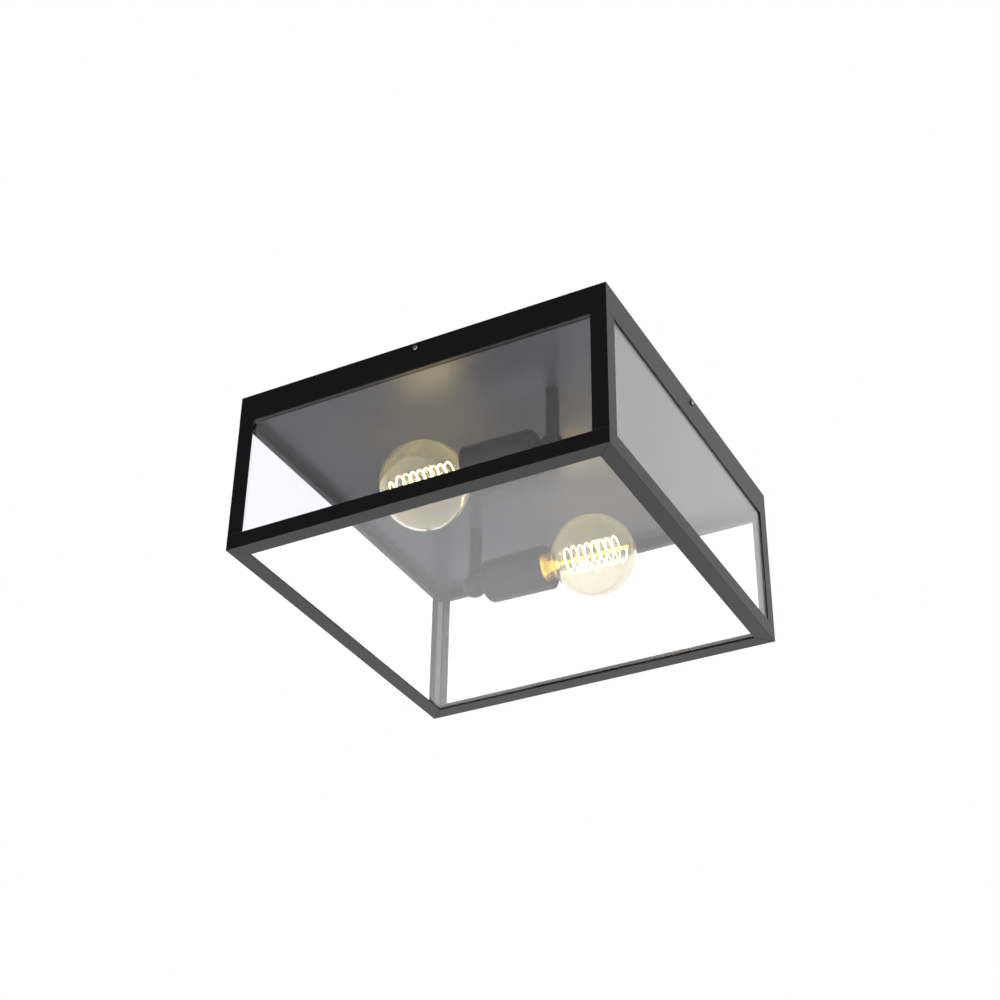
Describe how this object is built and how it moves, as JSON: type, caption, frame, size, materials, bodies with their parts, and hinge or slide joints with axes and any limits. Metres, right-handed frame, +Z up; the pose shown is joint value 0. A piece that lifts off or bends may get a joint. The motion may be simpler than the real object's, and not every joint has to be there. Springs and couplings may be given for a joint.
{
  "type": "porch ceiling lantern",
  "caption": "Flush square porch lantern: a black mitred angle-iron cage glazed on its sides and base, hung on a folded ceiling pan with ball-cornered arms and globe lamps.",
  "frame": {"origin": "middle of the ceiling face, on the plane of the pan's rim", "axes": "+Z up to the ceiling, -Y to the front, +X to the right; the lantern hangs below Z = 0"},
  "size_m": [0.3644, 0.3644, 0.16],
  "materials": {
    "black_metal": "black powder coat, satin",
    "pan_steel": "grey satin, softly reflecting",
    "clear_glass": "clear float glass",
    "clear_silicone": "translucent",
    "zinc_steel": "zinc plated",
    "black_moulding": "black moulding",
    "white_plastic": "moulded",
    "brass": "bright",
    "lamp_glass": "pale gold tinted",
    "black_glass": "vitreous, with a solder tip",
    "filament": "glowing warm yellow when lit"
  },
  "bodies": {
    "ceiling_unit": {"ceiling_pan": "pan_steel", "arm_tube_1": "black_metal", "arm_tube_2": "black_metal", "arm_nipples": "zinc_steel", "arm_nuts": "zinc_steel", "arm_washers": "zinc_steel", "corner_ball_1": "black_metal", "corner_ball_2": "black_metal", "holder_nipples": "zinc_steel", "holder_nuts": "zinc_steel", "lampholder_sleeve_1": "black_metal", "lampholder_insert_1": "black_moulding", "thread_shell_1": "brass", "contact_tongue_1": "brass", "lampholder_sleeve_2": "black_metal", "lampholder_insert_2": "black_moulding", "thread_shell_2": "brass", "contact_tongue_2": "brass", "insert_screws": "zinc_steel", "terminal_block": "white_plastic", "terminal_tubes": "brass", "terminal_screws": "zinc_steel", "block_fixing": "zinc_steel", "earth_terminal": "brass"},
    "cage": {"top_rail_front": "black_metal", "top_rail_right": "black_metal", "top_rail_back": "black_metal", "top_rail_left": "black_metal", "base_rail_front": "black_metal", "base_rail_right": "black_metal", "base_rail_back": "black_metal", "base_rail_left": "black_metal", "post_front_left": "black_metal", "post_front_right": "black_metal", "post_back_right": "black_metal", "post_back_left": "black_metal", "glass_front": "clear_glass", "glass_right": "clear_glass", "glass_back": "clear_glass", "glass_left": "clear_glass", "glass_base": "clear_glass", "silicone_beads": "clear_silicone", "screw_nuts": "zinc_steel"},
    "side_screw_front": {"side_screw_front": "zinc_steel"},
    "side_screw_right": {"side_screw_right": "zinc_steel"},
    "side_screw_back": {"side_screw_back": "zinc_steel"},
    "side_screw_left": {"side_screw_left": "zinc_steel"},
    "lamp_1": {"lamp_globe_1": "lamp_glass", "lamp_cap_1": "brass", "lamp_insulator_1": "black_glass", "lamp_stem_1": "lamp_glass", "lamp_filament_1": "filament"},
    "lamp_2": {"lamp_globe_2": "lamp_glass", "lamp_cap_2": "brass", "lamp_insulator_2": "black_glass", "lamp_stem_2": "lamp_glass", "lamp_filament_2": "filament"}
  },
  "joints": [
    {"name": "cage_drop", "type": "slide", "parent": "ceiling_unit", "child": "cage", "axis": [0, 0, -1], "range_m": [0, 0.13]},
    {"name": "side_screw_front_out", "type": "slide", "parent": "cage", "child": "side_screw_front", "axis": [0, -1, 0], "range_m": [0, 0.0055]},
    {"name": "side_screw_right_out", "type": "slide", "parent": "cage", "child": "side_screw_right", "axis": [1, 0, 0], "range_m": [0, 0.0055]},
    {"name": "side_screw_back_out", "type": "slide", "parent": "cage", "child": "side_screw_back", "axis": [0, 1, 0], "range_m": [0, 0.0055]},
    {"name": "side_screw_left_out", "type": "slide", "parent": "cage", "child": "side_screw_left", "axis": [-1, 0, 0], "range_m": [0, 0.0055]},
    {"name": "lamp_1_out", "type": "slide", "parent": "ceiling_unit", "child": "lamp_1", "axis": [-1, 0, 0], "range_m": [0, 0.0315]},
    {"name": "lamp_2_out", "type": "slide", "parent": "ceiling_unit", "child": "lamp_2", "axis": [1, 0, 0], "range_m": [0, 0.0315]}
  ]
}
